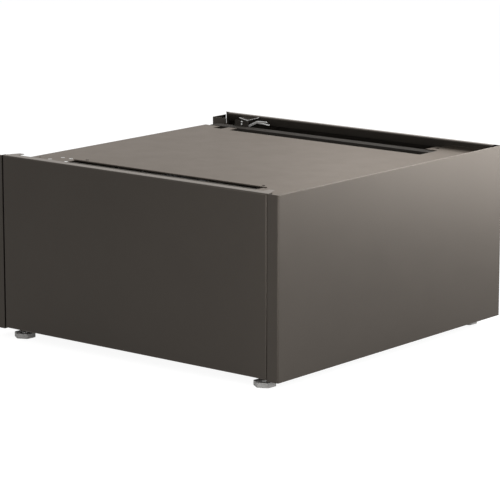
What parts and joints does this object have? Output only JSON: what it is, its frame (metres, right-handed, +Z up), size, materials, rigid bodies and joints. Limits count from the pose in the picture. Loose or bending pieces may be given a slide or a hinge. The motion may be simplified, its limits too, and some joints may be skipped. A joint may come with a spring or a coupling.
{
  "type": "washer pedestal drawer",
  "caption": "Low steel pedestal for a front-loading washer, with a full-width pull-out drawer on telescopic slides and levelling feet.",
  "frame": {"origin": "on the floor, under the middle of the cabinet", "axes": "+X to the right seen from the front, +Y to the back, +Z up; the drawer opens towards -Y"},
  "size_m": [0.686, 0.687, 0.35],
  "materials": {
    "cabinet_steel": "satin",
    "deck_steel": "satin",
    "inner_steel": "galvanised",
    "plated_steel": "zinc plated",
    "blackened_steel": "black oxide",
    "foot_plastic": "moulded",
    "rubber": "matt"
  },
  "bodies": {
    "cabinet": {"side_panel_right": "cabinet_steel", "side_panel_left": "cabinet_steel", "back_panel": "cabinet_steel", "top_plate": "deck_steel", "deck_stiffeners": "cabinet_steel", "front_top_rail": "cabinet_steel", "front_bottom_rail": "cabinet_steel", "rear_bottom_rail": "cabinet_steel", "base_rail_right": "cabinet_steel", "base_rail_left": "cabinet_steel", "rear_ledge_rail": "cabinet_steel", "rear_corner_bracket_right": "cabinet_steel", "rear_corner_bracket_left": "cabinet_steel", "slide_bracket_right": "cabinet_steel", "slide_bracket_left": "cabinet_steel", "slide_outer_right": "plated_steel", "slide_outer_left": "plated_steel", "retainer_base": "cabinet_steel", "retainer_arm": "plated_steel", "retainer_spring": "plated_steel", "retainer_screws": "plated_steel", "deck_screws": "plated_steel", "back_screws": "plated_steel", "weld_nuts": "plated_steel", "lock_nuts": "blackened_steel"},
    "drawer": {"drawer_front_skin": "cabinet_steel", "drawer_front_liner": "inner_steel", "drawer_front_stiffeners": "inner_steel", "drawer_box_front": "inner_steel", "drawer_side_right": "inner_steel", "drawer_side_left": "inner_steel", "drawer_back": "inner_steel", "drawer_floor": "inner_steel", "slide_inner_right": "plated_steel", "slide_inner_left": "plated_steel", "drawer_front_screws": "plated_steel", "drawer_slide_screws": "plated_steel", "drawer_bumpers": "rubber"},
    "middle_right": {"slide_middle_right": "plated_steel"},
    "middle_left": {"slide_middle_left": "plated_steel"},
    "outer_cage_right": {"outer_ball_cage_right": "plated_steel"},
    "outer_cage_left": {"outer_ball_cage_left": "plated_steel"},
    "inner_cage_right": {"inner_ball_cage_right": "plated_steel"},
    "inner_cage_left": {"inner_ball_cage_left": "plated_steel"},
    "foot_front_left": {"foot_pad_front_left": "foot_plastic", "foot_stud_front_left": "plated_steel"},
    "foot_front_right": {"foot_pad_front_right": "foot_plastic", "foot_stud_front_right": "plated_steel"},
    "foot_rear_left": {"foot_pad_rear_left": "foot_plastic", "foot_stud_rear_left": "plated_steel"},
    "foot_rear_right": {"foot_pad_rear_right": "foot_plastic", "foot_stud_rear_right": "plated_steel"}
  },
  "joints": [
    {"name": "drawer_slide", "type": "slide", "parent": "cabinet", "child": "drawer", "axis": [0, -1, 0], "range_m": [0, 0.52]},
    {"name": "middle_right_slide", "type": "slide", "parent": "cabinet", "child": "middle_right", "axis": [0, -1, 0], "range_m": [0, 0.26]},
    {"name": "outer_cage_right_slide", "type": "slide", "parent": "cabinet", "child": "outer_cage_right", "axis": [0, -1, 0], "range_m": [0, 0.13]},
    {"name": "inner_cage_right_slide", "type": "slide", "parent": "cabinet", "child": "inner_cage_right", "axis": [0, -1, 0], "range_m": [0, 0.39]},
    {"name": "middle_left_slide", "type": "slide", "parent": "cabinet", "child": "middle_left", "axis": [0, -1, 0], "range_m": [0, 0.26]},
    {"name": "outer_cage_left_slide", "type": "slide", "parent": "cabinet", "child": "outer_cage_left", "axis": [0, -1, 0], "range_m": [0, 0.13]},
    {"name": "inner_cage_left_slide", "type": "slide", "parent": "cabinet", "child": "inner_cage_left", "axis": [0, -1, 0], "range_m": [0, 0.39]},
    {"name": "foot_front_left_screw", "type": "slide", "parent": "cabinet", "child": "foot_front_left", "axis": [0, 0, 1], "range_m": [-0.012, 0]},
    {"name": "foot_front_right_screw", "type": "slide", "parent": "cabinet", "child": "foot_front_right", "axis": [0, 0, 1], "range_m": [-0.012, 0]},
    {"name": "foot_rear_left_screw", "type": "slide", "parent": "cabinet", "child": "foot_rear_left", "axis": [0, 0, 1], "range_m": [-0.012, 0]},
    {"name": "foot_rear_right_screw", "type": "slide", "parent": "cabinet", "child": "foot_rear_right", "axis": [0, 0, 1], "range_m": [-0.012, 0]}
  ],
  "couplings": [
    {"joint": "middle_right_slide", "follows": "drawer_slide", "ratio": 0.5},
    {"joint": "outer_cage_right_slide", "follows": "drawer_slide", "ratio": 0.25},
    {"joint": "inner_cage_right_slide", "follows": "drawer_slide", "ratio": 0.75},
    {"joint": "middle_left_slide", "follows": "drawer_slide", "ratio": 0.5},
    {"joint": "outer_cage_left_slide", "follows": "drawer_slide", "ratio": 0.25},
    {"joint": "inner_cage_left_slide", "follows": "drawer_slide", "ratio": 0.75}
  ]
}
